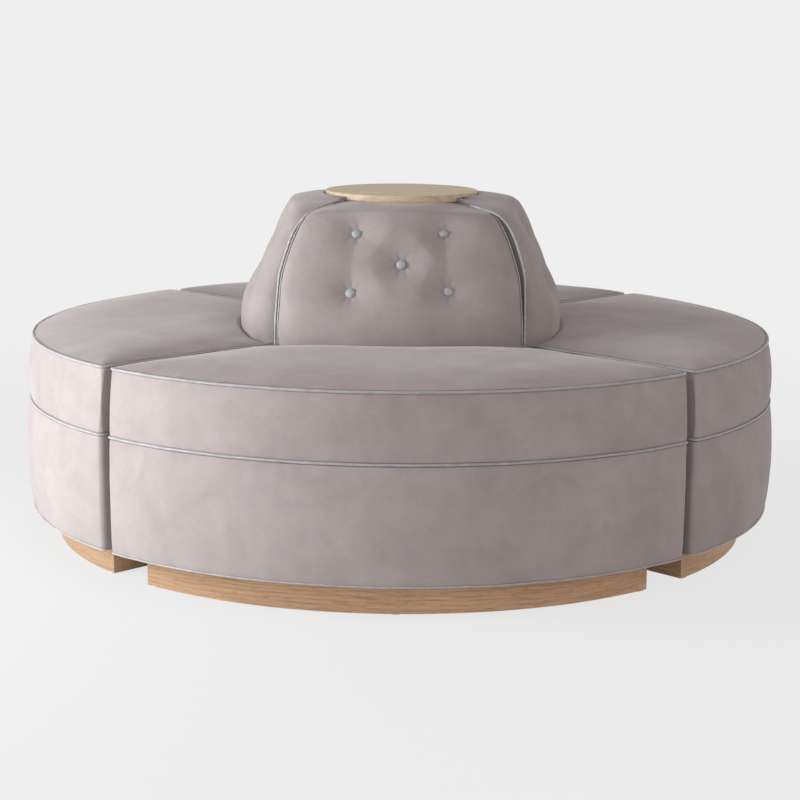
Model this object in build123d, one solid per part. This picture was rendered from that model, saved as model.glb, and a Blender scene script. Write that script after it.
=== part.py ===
from build123d import *
import math
import os

# A round conversation sofa: four quarter-circle modules stand round a shared middle, each with its
# own recessed oak plinth, boxed seat and tufted back, and a small oak table top rests on the backs.
# Frame: millimetres, +Z up, origin on the floor in the middle, the front module faces -Y.
# Each module is drawn once between the +X and +Y axes and is then turned to its place.

# Driving sizes of the whole sofa
seat_radius = 914.0
seat_edge_height = 495.0
table_height = 840.0
table_radius = 189.0
table_thickness = 18.0
module_gap = 24.0
back_gap = 16.0
well_radius = 60.0
cut_overrun = 30.0
turn_of_module = {"front": -135.0, "right": -45.0, "rear": 45.0, "left": 135.0}

# Upholstered bands of the seat and the base, between the three welts
middle_welt_height = 343.0
middle_welt_outset = 10.0
bottom_welt_outset = 8.0
band_bulge = 5.0
side_bulge = 4.0
corner_radius = 26.0
welt_radius = 3.5
welt_clearance = 0.3
welt_sides = 4

# Crown of the seat: its rise, how far in it is reached, and the shares of both along its slope
seat_crown = 17.0
crown_reach = 210.0
crown_slope_shares = [(0.0, 0.0), (0.30, 0.62), (1.0, 1.0)]

# Plinth boards, on nylon glides
glide_height = 2.0
glide_width = 16.0
plinth_board_height = 73.0
plinth_board = 18.0
plinth_recess = 56.0
plinth_side_recess = 63.0

# Base frame, cut from plywood, with its bent skin and its padding
base_padding = 18.0
side_padding = 12.0
skin_thickness = 4.0
ring_width = 60.0
ring_thickness = 18.0
plate_bays = 12
hole_bays = 2
sheet_bays = 6
sheet_margin = 12.0
post_width = 45.0
post_depth = 32.0
frame_corner_radius = 10.0
frame_clearance = 0.5
rim_post_count = 4
side_post_shares = [0.30, 0.62]
cross_rail_distance = 330.0
cross_rail_width = 45.0
cross_rail_height = 60.0
dust_cover_thickness = 1.0

# Webbing straps under the seat
strap_width = 60.0
strap_thickness = 2.0
strap_pitch = 118.0
strap_count = 9

# Back: two turned forms that meet in one body. The face is turned about an axis behind the middle,
# the crest about one in front of it. Rings are shares of the rise from seat edge to table top, then
# shares of the foot radius at the middle of the face.
back_foot_radius = 398.0
back_ring_gap = 14.0
face_axis_share = -0.75
face_ring_shares = [(0.151, 1.0), (0.258, 0.985), (0.368, 0.940), (0.658, 0.828), (1.0, 0.668)]
crest_axis_share = 0.327
crest_ring_shares = [
    (0.151, 1.170), (0.500, 1.138), (0.739, 1.060), (0.867, 0.957), (0.925, 0.846), (0.977, 0.600)
]
back_seat_clearance = 1.0
back_board = 18.0
back_side_padding = 8.0
back_face_padding = 40.0
former_padding = 58.0
former_corner_radius = 12.0
middle_former_share = 0.30
former_bays = 3

# Tufts of the back: degrees from the middle of the module, and share of the back's rise
tuft_places = [(-19.4, 0.774), (19.4, 0.774), (0.0, 0.570), (-17.9, 0.389), (17.9, 0.389)]
tuft_depth = 13.0
tuft_floor_radius = 13.0
tuft_mouth_radius = 40.0
tuft_lip = 3.0
tuft_sides = 6
button_radius = 11.5
button_edge = 2.5
button_dome = 4.0
button_flat_share = 0.5
button_sides = 8

# Table top with the turned hub that centres it
table_edge_chamfer = 1.5
table_seat_clearance = 0.3
hub_radius = 40.0
hub_depth = 36.0
hub_clearance = 2.0
hub_screw_count = 3
hub_screw_circle = 25.0
screw_radius = 2.5
screw_length = 48.0
screw_head_radius = 5.8
screw_head_height = 3.5
screw_head_sides = 6
screw_clearance = 0.1

# Sizes that follow
module_side = module_gap / 2
back_side = back_gap / 2
base_bottom = glide_height + plinth_board_height
bottom_welt_height = base_bottom + welt_radius
middle_welt_radius = seat_radius + middle_welt_outset
bottom_welt_radius = seat_radius + bottom_welt_outset
plinth_radius = seat_radius - plinth_recess
frame_radius = middle_welt_radius - base_padding - welt_radius
frame_side = module_side + side_padding
ring_radius = frame_radius - skin_thickness
ring_side = frame_side + skin_thickness
frame_bottom = base_bottom + dust_cover_thickness
deck_height = middle_welt_height - strap_thickness
board_top = table_height - table_thickness - table_seat_clearance
board_bottom = board_top - back_board
back_rise = table_height - seat_edge_height
back_rim_radius = table_radius + back_ring_gap
panel_side = back_side + back_side_padding
former_side = panel_side + back_board
right_angle = 90.0
half_turn = 180.0
bisector = right_angle / 2


def rim_line(radius, side, corner, start):
    # an open run: one radial side, round the rim with soft corners, and back down the other side
    along = math.sqrt((radius - corner) ** 2 - (side + corner) ** 2)
    lean = math.degrees(math.atan2(side + corner, along))
    first = Line((start, side), (along, side))
    first_corner = CenterArc((along, side + corner), corner, -right_angle, right_angle + lean)
    rim = CenterArc((0, 0), radius, lean, right_angle - 2 * lean)
    last_corner = CenterArc((side + corner, along), corner, right_angle - lean, right_angle + lean)
    last = Line((side, along), (side, start))
    return [first, first_corner, rim, last_corner, last]


def quarter(radius, side, corner, height=0.0):
    # the closed plan of a module at one height
    return Pos(0, 0, height) * make_face(Curve() + rim_line(radius, side, corner, side))


def quarter_block(radius, side, corner, low, high):
    return extrude(quarter(radius, side, corner, low), high - low)


def drum(radius, low, high):
    # a round bar about the sofa's own axis
    return Pos(0, 0, low) * Cylinder(radius, high - low, align=(Align.CENTER, Align.CENTER, Align.MIN))


def band(low, low_radius, high, high_radius):
    # an upholstered band that swells between two welts
    middle = (low + high) / 2
    middle_radius = (low_radius + high_radius) / 2 + band_bulge
    rings = [
        quarter(low_radius - welt_radius, module_side, corner_radius, low),
        quarter(middle_radius, module_side - side_bulge, corner_radius, middle),
        quarter(high_radius - welt_radius, module_side, corner_radius, high),
    ]
    return loft(rings, ruled=True)


def welt(radius, height, start):
    # piping that lies against a band edge, from the back or the well round the rim
    outset = welt_radius + welt_clearance
    side = module_side - outset
    path = Pos(0, 0, height) * Wire(rim_line(radius + welt_clearance, side, corner_radius + outset, start))
    end = Plane(origin=(start, side, height), z_dir=(1, 0, 0))
    return sweep(end * RegularPolygon(welt_radius, welt_sides), path)


# Plinth and glides

def plinth_front():
    ring = extrude(Circle(plinth_radius) - Circle(plinth_radius - plinth_board), plinth_board_height)
    corner = (plinth_side_recess, plinth_side_recess)
    room = Pos(*corner) * Box(
        plinth_radius, plinth_radius, plinth_board_height, align=(Align.MIN, Align.MIN, Align.MIN)
    )
    return Pos(0, 0, glide_height) * (ring & room)


def plinth_sides():
    inside = extrude(Circle(plinth_radius - plinth_board), plinth_board_height)
    low = (Align.MIN, Align.MIN, Align.MIN)
    long_board = Box(plinth_radius, plinth_board, plinth_board_height, align=low)
    short_board = Box(plinth_board, plinth_radius, plinth_board_height, align=low)
    first = Pos(plinth_side_recess, plinth_side_recess, 0) * long_board
    second = Pos(plinth_side_recess, plinth_side_recess + plinth_board, 0) * short_board
    return [Pos(0, 0, glide_height) * (board & inside) for board in (first, second)]


def glides():
    pad = Box(glide_width, glide_width, glide_height, align=(Align.CENTER, Align.CENTER, Align.MIN))
    middle_of_board = plinth_radius - plinth_board / 2
    board_line = plinth_side_recess + plinth_board / 2
    lean = math.degrees(math.asin((board_line + glide_width / 2) / middle_of_board))
    places = []
    for angle in (lean, bisector, right_angle - lean):
        turn = math.radians(angle)
        places.append((middle_of_board * math.cos(turn), middle_of_board * math.sin(turn), angle))
    half_way = middle_of_board / 2
    places.append((board_line, board_line, 0))
    places.append((half_way, board_line, 0))
    places.append((board_line, half_way, 0))
    return [Pos(x, y, 0) * Rot(0, 0, angle) * pad for x, y, angle in places]


# Base: frame, padded cover, dust cover and webbing

def plate_plan(radius, side, bays):
    # a plan with straight edges between points on the rim
    lean = math.degrees(math.asin(side / radius))
    step = (right_angle - 2 * lean) / bays
    turns = [math.radians(lean + step * number) for number in range(bays + 1)]
    points = [(side, side)] + [(radius * math.cos(turn), radius * math.sin(turn)) for turn in turns]
    return make_face(Polyline(points, close=True))


def ring_plate(low):
    high = low + ring_thickness
    outer_side = ring_side + frame_corner_radius + frame_clearance
    outer = plate_plan(ring_radius - frame_clearance, outer_side, plate_bays)
    hole = plate_plan(ring_radius - ring_width, ring_side + ring_width, hole_bays)
    plate = Pos(0, 0, low) * extrude(outer - hole, ring_thickness)
    return plate - drum(well_radius, low - cut_overrun, high + cut_overrun)


def upright(x, y, angle):
    low = frame_bottom + ring_thickness
    high = deck_height - ring_thickness
    post = Box(post_depth, post_width, high - low, align=(Align.CENTER, Align.CENTER, Align.MIN))
    return Pos(x, y, low) * Rot(0, 0, angle) * post


def base_frame():
    pieces = [ring_plate(frame_bottom), ring_plate(deck_height - ring_thickness)]
    post_radius = ring_radius - ring_width / 2
    end_angle = math.degrees(math.asin((ring_side + ring_width) / post_radius))
    spread = (right_angle - 2 * end_angle) / (rim_post_count - 1)
    for number in range(rim_post_count):
        angle = end_angle + spread * number
        turn = math.radians(angle)
        pieces.append(upright(post_radius * math.cos(turn), post_radius * math.sin(turn), angle))
    line = ring_side + ring_width / 2
    for share in side_post_shares:
        pieces.append(upright(ring_radius * share, line, right_angle))
        pieces.append(upright(line, ring_radius * share, 0))
    outer_corner = frame_corner_radius + skin_thickness
    skin = quarter_block(frame_radius, frame_side, outer_corner, frame_bottom, deck_height)
    skin -= quarter_block(ring_radius, ring_side, frame_corner_radius, frame_bottom, deck_height)
    skin -= drum(well_radius, frame_bottom - cut_overrun, deck_height + cut_overrun)
    pieces += skin.solids()
    reach = 2 * (cross_rail_distance - math.sqrt(2) * line)
    rail_low = deck_height - ring_thickness - cross_rail_height
    rail = Box(cross_rail_width, reach, cross_rail_height, align=(Align.MIN, Align.CENTER, Align.MIN))
    pieces.append(Rot(0, 0, bisector) * Pos(cross_rail_distance, 0, rail_low) * rail)
    return pieces


def base_cover():
    cover = band(base_bottom, bottom_welt_radius, middle_welt_height, middle_welt_radius)
    inner_corner = frame_corner_radius + skin_thickness
    low = base_bottom - cut_overrun
    high = middle_welt_height + cut_overrun
    cover -= quarter_block(frame_radius, frame_side, inner_corner, low, high)
    return cover - drum(well_radius, low, high)


def dust_cover():
    plan = plate_plan(ring_radius - sheet_margin, ring_side + sheet_margin, sheet_bays)
    sheet = Pos(0, 0, base_bottom) * extrude(plan, dust_cover_thickness)
    return sheet - drum(well_radius, base_bottom - cut_overrun, frame_bottom + cut_overrun)


def seat_webbing():
    plan = plate_plan(ring_radius - sheet_margin, ring_side + sheet_margin, sheet_bays)
    room = Pos(0, 0, deck_height) * extrude(plan, strap_thickness)
    room -= drum(well_radius + sheet_margin, deck_height - cut_overrun, middle_welt_height + cut_overrun)
    straps = []
    for number in range(strap_count):
        across = (number - (strap_count - 1) / 2) * strap_pitch
        strap = Box(seat_radius, strap_width, strap_thickness, align=(Align.MIN, Align.CENTER, Align.MIN))
        straps.append(room & (Rot(0, 0, bisector) * Pos(0, across, deck_height) * strap))
    return straps


# Seat

def seat_crown_form():
    # the dome of one seat: it falls to the rim all round and to both radial sides
    edge_radius = seat_radius - welt_radius
    top = seat_edge_height + seat_crown
    slope = []
    for reach, rise in crown_slope_shares:
        slope.append((crown_reach * reach, seat_edge_height + seat_crown * rise))
    rim = [(edge_radius - inset, height) for inset, height in slope]
    rim += [(0, top), (0, seat_edge_height)]
    to_rim = revolve(Plane.XZ * make_face(Polyline(rim, close=True)), Axis.Z)
    side = [(module_side + inset, height) for inset, height in slope]
    side += [(edge_radius, top), (edge_radius, seat_edge_height)]
    to_side = extrude(Plane.YZ * make_face(Polyline(side, close=True)), seat_radius)
    to_other_side = to_side.mirror(Plane(origin=(0, 0, 0), z_dir=(1, -1, 0)))
    block = quarter_block(edge_radius, module_side, corner_radius, seat_edge_height, top)
    return block & to_rim & to_side & to_other_side


def seat_cushion(back_room):
    cushion = band(middle_welt_height, middle_welt_radius, seat_edge_height, seat_radius)
    return cushion + seat_crown_form() - back_room


# Back

def back_level(share):
    return seat_edge_height + back_rise * share


def between_rings(rings, height):
    # the reach at the middle of the face, at any height
    levels = [(back_level(rise), back_foot_radius * reach) for rise, reach in rings]
    if height <= levels[0][0]:
        return levels[0][1]
    for (low, low_reach), (high, high_reach) in zip(levels, levels[1:]):
        if height <= high:
            return low_reach + (high_reach - low_reach) * (height - low) / (high - low)
    return levels[-1][1]


def edge_reach(rings, axis_share, height, side):
    # the reach of a turned form along the plane of a radial side
    axis = back_foot_radius * axis_share
    across = axis * math.cos(math.radians(bisector))
    turned_radius = between_rings(rings, height) - axis
    return across + math.sqrt(turned_radius ** 2 - (side - across) ** 2)


def turned_form(rings, axis_share, grow):
    axis = back_foot_radius * axis_share
    foot_radius = back_foot_radius * rings[0][1] + grow - axis
    outline = [(0, middle_welt_height), (foot_radius, middle_welt_height)]
    outline += [(back_foot_radius * reach + grow - axis, back_level(rise)) for rise, reach in rings]
    outline.append((0, outline[-1][1]))
    body = revolve(Plane.XZ * make_face(Polyline(outline, close=True)), Axis.Z)
    return Rot(0, 0, bisector) * Pos(axis, 0, 0) * Rot(0, 0, half_turn) * body


def back_form(side, grow):
    # face and crest between the radial sides, with room for the table top
    face = turned_form(face_ring_shares, face_axis_share, grow)
    crest = turned_form(crest_ring_shares, crest_axis_share, grow)
    low = (Align.MIN, Align.MIN, Align.MIN)
    room = Pos(side, side, middle_welt_height) * Box(seat_radius, seat_radius, table_height, align=low)
    return (face & crest & room) - drum(back_rim_radius, board_bottom, table_height + cut_overrun)


def edge_line(side, inset, top):
    # points up the arched edge of a back, in the plane of its side
    heights = sorted({back_level(rise) for rise, _ in face_ring_shares + crest_ring_shares})
    points = []
    for height in heights:
        face = edge_reach(face_ring_shares, face_axis_share, height, side)
        crest = edge_reach(crest_ring_shares, crest_axis_share, height, side)
        reach = min(face, crest) - inset
        if height <= top and reach > back_rim_radius:
            points.append((reach, height))
    return points


def side_planes(side):
    near_plane = Plane(origin=(0, side, 0), x_dir=(1, 0, 0), z_dir=(0, -1, 0))
    far_plane = Plane(origin=(side, 0, 0), x_dir=(0, 1, 0), z_dir=(1, 0, 0))
    return near_plane, far_plane


def back_panels():
    # one arched plywood side, cut for each radial side
    points = edge_line(panel_side, back_face_padding, board_bottom)
    foot = (points[0][0], middle_welt_height)
    outline = [(well_radius, middle_welt_height), foot] + points
    outline += [(back_rim_radius, board_bottom), (well_radius, board_bottom)]
    face = make_face(Polyline(outline, close=True))
    near_plane = side_planes(former_side)[0]
    far_plane = side_planes(panel_side)[1]
    well = drum(well_radius, middle_welt_height - cut_overrun, board_bottom + cut_overrun)
    return [extrude(near_plane * face, back_board) - well, extrude(far_plane * face, back_board) - well]


def back_frame():
    board_radius = back_rim_radius - table_seat_clearance
    top = quarter_block(board_radius, panel_side, former_corner_radius, board_bottom, board_top)
    top -= drum(hub_radius + hub_clearance, board_bottom - cut_overrun, board_top + cut_overrun)
    pieces = back_panels() + [top]
    plan = plate_plan(back_foot_radius - former_padding, former_side, former_bays)
    for level in (middle_welt_height, back_level(middle_former_share)):
        former = Pos(0, 0, level) * extrude(plan, back_board)
        pieces.append(former - drum(well_radius, level - cut_overrun, level + back_board + cut_overrun))
    return pieces


def tuft_frames(form):
    # where each button pulls the face in: a plane on the face, its Z pointing out of it
    frames = []
    for angle, rise in tuft_places:
        turn = math.radians(bisector + angle)
        level = seat_edge_height + back_rise * rise
        ray = Axis((0, 0, level), (math.cos(turn), math.sin(turn), 0))
        hits = form.find_intersection_points(ray)
        point, normal = max(hits, key=lambda hit: hit[0].length)
        if normal.Z < 0:
            normal = -normal
        frames.append(Plane(origin=point, z_dir=normal))
    return frames


def tuft_cut():
    # the funnel that a button pulls into the face, with a flat seat for the button
    width = 2 * tuft_mouth_radius
    slope = math.degrees(math.atan2(tuft_mouth_radius - tuft_floor_radius, tuft_depth))
    upright_align = (Align.CENTER, Align.CENTER, Align.MIN)
    funnel = Pos(0, 0, -tuft_depth) * Box(width, width, tuft_depth + tuft_lip, align=upright_align)
    inward = Box(2 * width, 2 * width, 2 * width, align=(Align.MAX, Align.CENTER, Align.CENTER))
    for number in range(tuft_sides):
        turn = Rot(0, 0, 2 * half_turn / tuft_sides * number)
        funnel &= turn * Pos(tuft_floor_radius, 0, -tuft_depth) * Rot(0, slope, 0) * inward
    return funnel


def button():
    edge = RegularPolygon(button_radius, button_sides)
    slope = math.degrees(math.atan2(button_radius * (1 - button_flat_share), button_dome))
    return extrude(edge, button_edge) + Pos(0, 0, button_edge) * extrude(edge, button_dome, taper=slope)


def back_buttons(frames):
    seat = Pos(0, 0, -tuft_depth)
    return [frame.location * seat * button() for frame in frames]


def back_cushion(form, frame_pieces, frames):
    cushion = form - drum(well_radius, middle_welt_height - cut_overrun, table_height)
    for piece in frame_pieces:
        cushion -= piece
    for frame in frames:
        cushion -= frame.location * tuft_cut()
    return cushion


def back_welts():
    # piping up both arched edges, from the seat's own welt to the ring round the table
    side = back_side - welt_radius
    points = edge_line(back_side, 0, table_height)
    low = seat_edge_height + welt_radius * 2
    path = side_planes(side)[0] * Polyline([(points[0][0], low)] + points)
    start = Plane(origin=(points[0][0], side, low), z_dir=(0, 0, 1))
    near = sweep(start * RegularPolygon(welt_radius, welt_sides), path, transition=Transition.RIGHT)
    return [near, near.mirror(Plane(origin=(0, 0, 0), z_dir=(1, -1, 0)))]


# Table top

def table_screw_places():
    step = 2 * half_turn / hub_screw_count
    angles = [math.radians(bisector + step * number) for number in range(hub_screw_count)]
    return [(hub_screw_circle * math.cos(a), hub_screw_circle * math.sin(a)) for a in angles]


def table_top():
    low = table_height - table_thickness
    top = drum(table_radius, low, table_height)
    top = chamfer(top.edges().group_by(Axis.Z)[-1], table_edge_chamfer)
    depth = screw_length - hub_depth
    for x, y in table_screw_places():
        top -= Pos(x, y, 0) * drum(screw_radius + screw_clearance, low, low + depth)
    return top


def table_hub():
    high = table_height - table_thickness
    low = high - hub_depth
    hub = drum(hub_radius, low, high)
    for x, y in table_screw_places():
        hub -= Pos(x, y, 0) * drum(screw_radius + screw_clearance, low, high)
    return hub


def table_screws():
    seat = table_height - table_thickness - hub_depth
    low = seat - screw_head_height
    head = Pos(0, 0, low) * extrude(RegularPolygon(screw_head_radius, screw_head_sides), screw_head_height)
    screw = head + drum(screw_radius, seat, seat + screw_length)
    return [Pos(x, y, 0) * screw for x, y in table_screw_places()]


# One module, as named pieces between the +X and +Y axes

def module_pieces():
    form = back_form(back_side, 0)
    frame_pieces = back_frame()
    frames = tuft_frames(form)
    back_room = back_form(0, back_seat_clearance)
    face_foot = edge_reach(face_ring_shares, face_axis_share, middle_welt_height, module_side)
    crest_foot = edge_reach(crest_ring_shares, crest_axis_share, middle_welt_height, module_side)
    foot_reach = min(face_foot, crest_foot)
    seat_welt_start = foot_reach + back_seat_clearance
    low_welt_start = well_radius + welt_radius
    base_welts = [
        welt(middle_welt_radius, middle_welt_height, seat_welt_start),
        welt(bottom_welt_radius, bottom_welt_height, low_welt_start),
    ]
    return {
        "plinth_front": [plinth_front()],
        "plinth_sides": plinth_sides(),
        "plinth_glides": glides(),
        "base_frame": base_frame(),
        "base_cover": [base_cover()],
        "base_welts": base_welts,
        "dust_cover": [dust_cover()],
        "seat_webbing": seat_webbing(),
        "seat_cushion": [seat_cushion(back_room)],
        "seat_welt": [welt(seat_radius, seat_edge_height, seat_welt_start)],
        "back_frame": frame_pieces,
        "back_cushion": [back_cushion(form, frame_pieces, frames)],
        "back_welts": back_welts(),
        "back_buttons": back_buttons(frames),
    }


def write(name, pieces):
    solids = [solid for piece in pieces for solid in piece.solids()]
    shape = solids[0] if len(solids) == 1 else Compound(children=solids)
    export_step(shape, f"parts/{name}.step")


os.makedirs("parts", exist_ok=True)
one_module = module_pieces()
for place, turn in turn_of_module.items():
    for piece_name, pieces in one_module.items():
        write(f"{place}_{piece_name}", [Rot(0, 0, turn) * piece for piece in pieces])
write("table_top", [table_top()])
write("table_hub", [table_hub()])
write("table_screws", table_screws())
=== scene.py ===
import bpy
import math
import numpy as np
from mathutils import Matrix, Vector


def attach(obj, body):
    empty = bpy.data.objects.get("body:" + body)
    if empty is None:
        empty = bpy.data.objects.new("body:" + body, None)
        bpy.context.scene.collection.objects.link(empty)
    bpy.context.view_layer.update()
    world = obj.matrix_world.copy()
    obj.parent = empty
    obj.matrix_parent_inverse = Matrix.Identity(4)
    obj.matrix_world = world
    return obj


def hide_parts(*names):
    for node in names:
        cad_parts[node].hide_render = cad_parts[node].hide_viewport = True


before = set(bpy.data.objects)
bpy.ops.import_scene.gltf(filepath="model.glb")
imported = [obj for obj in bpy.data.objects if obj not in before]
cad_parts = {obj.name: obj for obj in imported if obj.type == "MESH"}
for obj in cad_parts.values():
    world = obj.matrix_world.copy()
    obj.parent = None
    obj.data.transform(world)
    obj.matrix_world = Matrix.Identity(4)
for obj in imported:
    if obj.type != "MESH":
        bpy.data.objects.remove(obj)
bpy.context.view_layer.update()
scene = bpy.context.scene
places = ["front", "right", "rear", "left"]  # each a quarter turn on from the last, seen from above
halfModule = math.pi / 4

sofa = {  # metres, as in the source but for the gap and the corner
    "seatRadius": 0.914, "seatEdge": 0.495, "middleWelt": 0.343, "bottomWelt": 0.0785, "height": 0.840,
    "middleOutset": 0.010, "bottomOutset": 0.008, "gap": 0.027, "backGap": 0.011,
    "corner": 0.012, "well": 0.060, "seamIn": 0.0015,
}
moduleSide, backSide = sofa["gap"] / 2, sofa["backGap"] / 2
middleRadius = sofa["seatRadius"] + sofa["middleOutset"]
bottomRadius = sofa["seatRadius"] + sofa["bottomOutset"]
print("frame loaded:", len(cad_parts), "nodes")


# ---- nodes of any tree

def feed(tree, node, inputs):
    # each input gets a value, or a link from another node's output
    for label, value in inputs.items():
        if isinstance(value, bpy.types.NodeSocket):
            tree.links.new(value, node.inputs[label])
        else:
            node.inputs[label].default_value = value


def put(tree, kind, inputs=None, **settings):
    node = tree.nodes.new(kind)
    for label, value in settings.items():
        setattr(node, label, value)
    feed(tree, node, inputs or {})
    return node


def newTree(name, kind, inputs, outputs):
    # each socket is given as its label and its kind; gives the tree, what comes in and the node that puts out
    tree = bpy.data.node_groups.new(name, kind)
    for side, sockets in (("INPUT", inputs), ("OUTPUT", outputs)):
        for label, form in (socket.split() for socket in sockets):
            tree.interface.new_socket(name=label, in_out=side, socket_type="NodeSocket" + form)
    return tree, tree.nodes.new("NodeGroupInput").outputs, tree.nodes.new("NodeGroupOutput")


def mathNode(tree, operation, *values):
    return put(tree, "ShaderNodeMath", dict(enumerate(values)), operation=operation).outputs[0]


def sums(tree):
    # plus, minus and times for the values of one tree
    return [lambda a, b, kind=kind: mathNode(tree, kind, a, b) for kind in ("ADD", "SUBTRACT", "MULTIPLY")]


def mixColour(tree, share, a, b):
    return put(tree, "ShaderNodeMix", {0: share, 6: a, 7: b}, data_type="RGBA").outputs[2]


def noise(tree, vector, scale, detail=2.0, rough=0.5, distort=0.0):
    # a scale for all directions, or one for each
    if isinstance(scale, tuple):
        vector = put(tree, "ShaderNodeVectorMath", {0: vector, 1: scale}, operation="MULTIPLY").outputs[0]
        scale = 1.0
    return put(tree, "ShaderNodeTexNoise", {
        "Vector": vector, "Scale": scale, "Detail": detail, "Roughness": rough, "Distortion": distort}).outputs["Fac"]


def waves(tree, vector, scale, direction, distort=0.0):
    return put(tree, "ShaderNodeTexWave", {"Vector": vector, "Scale": scale, "Distortion": distort},
               bands_direction=direction).outputs["Fac"]


def spread(tree, value, low, high, newLow=0.0, newHigh=1.0):
    return put(tree, "ShaderNodeMapRange", {
        "Value": value, "From Min": low, "From Max": high, "To Min": newLow, "To Max": newHigh}).outputs["Result"]


# ---- camera, floor and light

camera = {"lens": 88.73, "sensor": 36.0, "place": (0.0290, -4.926, 1.2455),
          "pitch": 10.80, "yaw": 0.338, "roll": 0.443}


def makeCamera():
    data = bpy.data.cameras.new("camera")
    data.lens, data.sensor_width = camera["lens"], camera["sensor"]
    pitch, yaw, roll = (math.radians(camera[k]) for k in ("pitch", "yaw", "roll"))
    ahead = Vector((-math.sin(yaw) * math.cos(pitch), math.cos(yaw) * math.cos(pitch), -math.sin(pitch)))
    level = Vector((math.cos(yaw), math.sin(yaw), 0))
    rise = level.cross(ahead)
    right = math.cos(roll) * level + math.sin(roll) * rise
    up = -math.sin(roll) * level + math.cos(roll) * rise
    made = bpy.data.objects.new("camera", data)
    made.matrix_world = Matrix((right, up, -ahead)).transposed().to_4x4()
    made.location = camera["place"]
    scene.collection.objects.link(made)
    scene.camera = made


studio = {
    "paper": 0.863,  # what the camera sees behind the sofa
    "skyAll": 0.02, "skyTint": (1.0, 0.950, 0.940),
    "skySides": [((0.73, -0.68, 0), 0.95), ((0, -1, 0), 0.54), ((0, 1, 0), 0.74), ((0, 0, 1), 0.02)],
    "windowStrength": 1.32, "windowTurn": -98.0, "windowHeight": 20.0, "windowSize": 30.0,
    "softboxWatt": 77.0, "softboxFree": 0.30, "softboxSize": 1.1,
    "softboxPlace": (-2.58, -1.30, 0.74), "softboxAim": (-0.4, -0.35, 0.32), "lampTint": (0.955, 0.985, 0.995),
    "floorColour": 0.80, "floorReach": 200.0, "shadowShare": 0.15, "shadowNear": 1.2, "shadowFar": 3.5,
}


def grey(value):
    return (value, value, value, 1)


def blended(tree, share, first, second, outputKind):
    mix = put(tree, "ShaderNodeMixShader", {"Fac": share, 1: first.outputs[0], 2: second.outputs[0]})
    put(tree, outputKind, {"Surface": mix.outputs[0]})


def backgroundRay(tree):
    # one for camera, glossy and transmission rays, otherwise nought
    path = put(tree, "ShaderNodeLightPath").outputs
    seen = mathNode(tree, "MAXIMUM", path["Is Camera Ray"], path["Is Glossy Ray"])
    return mathNode(tree, "MAXIMUM", seen, path["Is Transmission Ray"])


def makeSky():
    world = bpy.data.worlds.new("studio")
    scene.world = world
    world.use_nodes = True
    tree = world.node_tree
    tree.nodes.clear()
    around = put(tree, "ShaderNodeTexCoord").outputs["Generated"]
    total = studio["skyAll"]
    for direction, strength in studio["skySides"]:
        # light from one side of the room, strongest straight from there
        facing = put(tree, "ShaderNodeVectorMath", {0: around, 1: [x * strength for x in direction]},
                     operation="DOT_PRODUCT")
        total = mathNode(tree, "ADD", mathNode(tree, "MAXIMUM", facing.outputs["Value"], 0.0), total)
    sky = put(tree, "ShaderNodeBackground", {"Color": (*studio["skyTint"], 1), "Strength": total})
    seen = put(tree, "ShaderNodeBackground", {"Color": grey(studio["paper"])})
    blended(tree, backgroundRay(tree), sky, seen, "ShaderNodeOutputWorld")


def hangLamp(data, towards, place=(0, 0, 0)):
    data.color = studio["lampTint"]
    lamp = bpy.data.objects.new(data.name, data)
    lamp.location = place
    lamp.rotation_mode = "QUATERNION"
    lamp.rotation_quaternion = towards.to_track_quat("Z", "Y")
    scene.collection.objects.link(lamp)
    return lamp


def makeLamps():
    window = bpy.data.lights.new("windowLight", "SUN")
    window.energy, window.angle = studio["windowStrength"], math.radians(studio["windowSize"])
    turn, height = math.radians(studio["windowTurn"]), math.radians(studio["windowHeight"])
    level = math.cos(height)
    hangLamp(window, Vector((math.sin(turn) * level, -math.cos(turn) * level, math.sin(height))))
    flag = bpy.data.collections.new("softboxFlag")  # keeps part of the softbox off the plinths
    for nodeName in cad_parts:
        if "_plinth_front" in nodeName or "_plinth_sides" in nodeName:
            flag.objects.link(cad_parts[nodeName])
    for entry in flag.collection_objects:
        entry.light_linking.link_state = "EXCLUDE"
    place, aim = Vector(studio["softboxPlace"]), Vector(studio["softboxAim"])
    free = studio["softboxFree"]
    for name, share, kept in (("softbox", 1 - free, flag), ("softboxLow", free, None)):
        box = bpy.data.lights.new(name, "AREA")
        box.energy, box.size = studio["softboxWatt"] * share, studio["softboxSize"]
        lamp = hangLamp(box, place - aim, place)
        lamp.visible_camera = False
        lamp.light_linking.receiver_collection = kept


def makeFloor():
    paper = bpy.data.materials.new("paperFloor")
    paper.use_nodes = True
    tree = paper.node_tree
    tree.nodes.clear()
    glow = put(tree, "ShaderNodeEmission", {"Color": grey(studio["paper"])})
    matt = put(tree, "ShaderNodeBsdfDiffuse", {"Color": grey(studio["floorColour"])})
    place = put(tree, "ShaderNodeTexCoord").outputs["Object"]
    flat = put(tree, "ShaderNodeVectorMath", {0: place, 1: (1, 1, 0)}, operation="MULTIPLY").outputs[0]
    away = put(tree, "ShaderNodeVectorMath", {0: flat}, operation="LENGTH").outputs["Value"]
    # beyond the shadow the floor is the paper alone
    fade = spread(tree, away, studio["shadowNear"], studio["shadowFar"], 1 - studio["shadowShare"], 1.0)
    blended(tree, mathNode(tree, "MULTIPLY", backgroundRay(tree), fade), matt, glow, "ShaderNodeOutputMaterial")
    reach = studio["floorReach"]
    mesh = bpy.data.meshes.new("paperFloor")
    corners = [(-reach, -reach, 0), (reach, -reach, 0), (reach, reach, 0), (-reach, reach, 0)]
    mesh.from_pydata(corners, [], [(0, 1, 2, 3)])
    mesh.materials.append(paper)
    floor = bpy.data.objects.new("paperFloor", mesh)
    scene.collection.objects.link(floor)


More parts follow.
